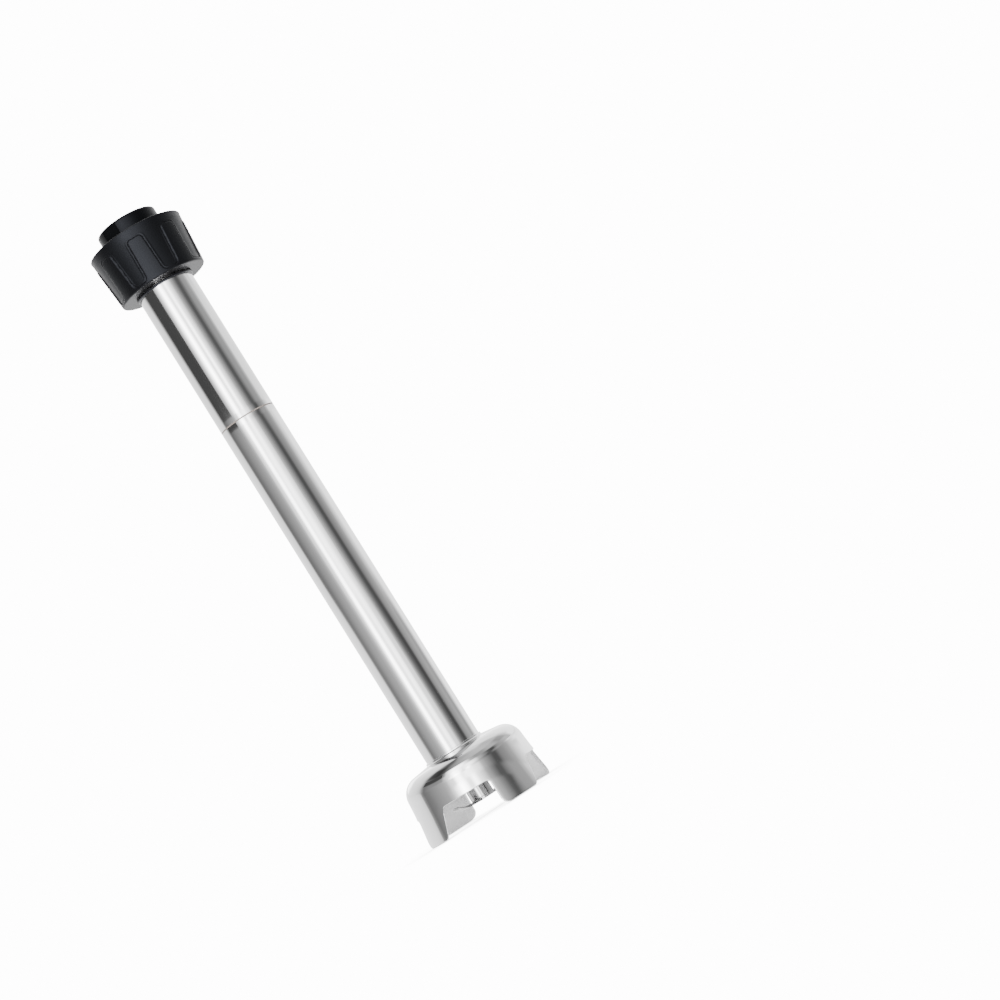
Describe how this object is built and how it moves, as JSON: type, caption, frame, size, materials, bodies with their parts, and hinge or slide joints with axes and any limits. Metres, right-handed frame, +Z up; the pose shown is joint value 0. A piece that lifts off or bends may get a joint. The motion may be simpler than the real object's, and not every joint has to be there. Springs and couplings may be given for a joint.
{
  "type": "immersion blender shaft",
  "caption": "Stainless immersion blender shaft with a windowed bell guard, a blade on an inner drive shaft and a captive black coupling nut.",
  "frame": {"origin": "centre of the bell guard's rim plane, on the drive shaft's axis", "axes": "+Z up the shaft from the rim to the coupling end; -Y is the side seen in the picture and +X is to its right"},
  "size_m": [0.0808, 0.0808, 0.4054],
  "materials": {
    "polished_stainless": "mirror-polished stainless steel",
    "brushed_stainless": "fine lengthwise brushed stainless steel",
    "machined_stainless": "turned stainless steel",
    "blade_stainless": "ground stainless steel",
    "bearing_steel": "ground bearing steel",
    "black_spring_steel": "black oxide spring steel",
    "black_rubber": "smooth moulded rubber",
    "black_head_plastic": "satin moulded glass-filled plastic",
    "black_nut_plastic": "fine-grained moulded plastic",
    "white_bush_plastic": "smooth bearing plastic"
  },
  "bodies": {
    "shaft_housing": {"bell_guard": "polished_stainless", "lower_tube": "brushed_stainless", "upper_tube": "brushed_stainless", "tube_joint_sleeve": "machined_stainless", "shaft_guide_bush": "white_bush_plastic", "lower_bearing_housing": "machined_stainless", "housing_o_ring": "black_rubber", "housing_retaining_ring": "black_spring_steel", "seal_cover": "machined_stainless", "outer_lip_seal": "black_rubber", "inner_lip_seal": "black_rubber", "lower_bearing_retaining_ring": "black_spring_steel", "coupling_head": "black_head_plastic", "head_o_ring": "black_rubber", "head_screws": "machined_stainless", "nut_stop_ring": "black_spring_steel", "upper_bearing_wave_washer": "black_spring_steel", "upper_bearing_retaining_ring": "black_spring_steel", "lower_bearing_outer_race": "bearing_steel", "lower_bearing_shields": "bearing_steel", "upper_bearing_outer_race": "bearing_steel", "upper_bearing_shields": "bearing_steel"},
    "nut": {"coupling_nut": "black_nut_plastic"},
    "rotor": {"drive_shaft": "machined_stainless", "drive_coupling": "machined_stainless", "blade_hub": "machined_stainless", "blade": "blade_stainless", "blade_screw": "machined_stainless", "lower_bearing_inner_race": "bearing_steel", "upper_bearing_inner_race": "bearing_steel"},
    "lower_ball_set": {"lower_bearing_balls": "bearing_steel", "lower_bearing_cage": "bearing_steel"},
    "upper_ball_set": {"upper_bearing_balls": "bearing_steel", "upper_bearing_cage": "bearing_steel"}
  },
  "joints": [
    {"name": "nut_turn", "type": "hinge", "parent": "shaft_housing", "child": "nut", "pos_m": [0, 0, 0.378], "axis": [0, 0, 1], "continuous": true},
    {"name": "blade_spin", "type": "hinge", "parent": "shaft_housing", "child": "rotor", "pos_m": [0, 0, 0.0485], "axis": [0, 0, 1], "continuous": true},
    {"name": "lower_cage_turn", "type": "hinge", "parent": "shaft_housing", "child": "lower_ball_set", "pos_m": [0, 0, 0.0485], "axis": [0, 0, 1], "continuous": true},
    {"name": "upper_cage_turn", "type": "hinge", "parent": "shaft_housing", "child": "upper_ball_set", "pos_m": [0, 0, 0.3805], "axis": [0, 0, 1], "continuous": true}
  ],
  "couplings": [
    {"joint": "lower_cage_turn", "follows": "blade_spin", "ratio": 0.3677},
    {"joint": "upper_cage_turn", "follows": "blade_spin", "ratio": 0.3677}
  ]
}
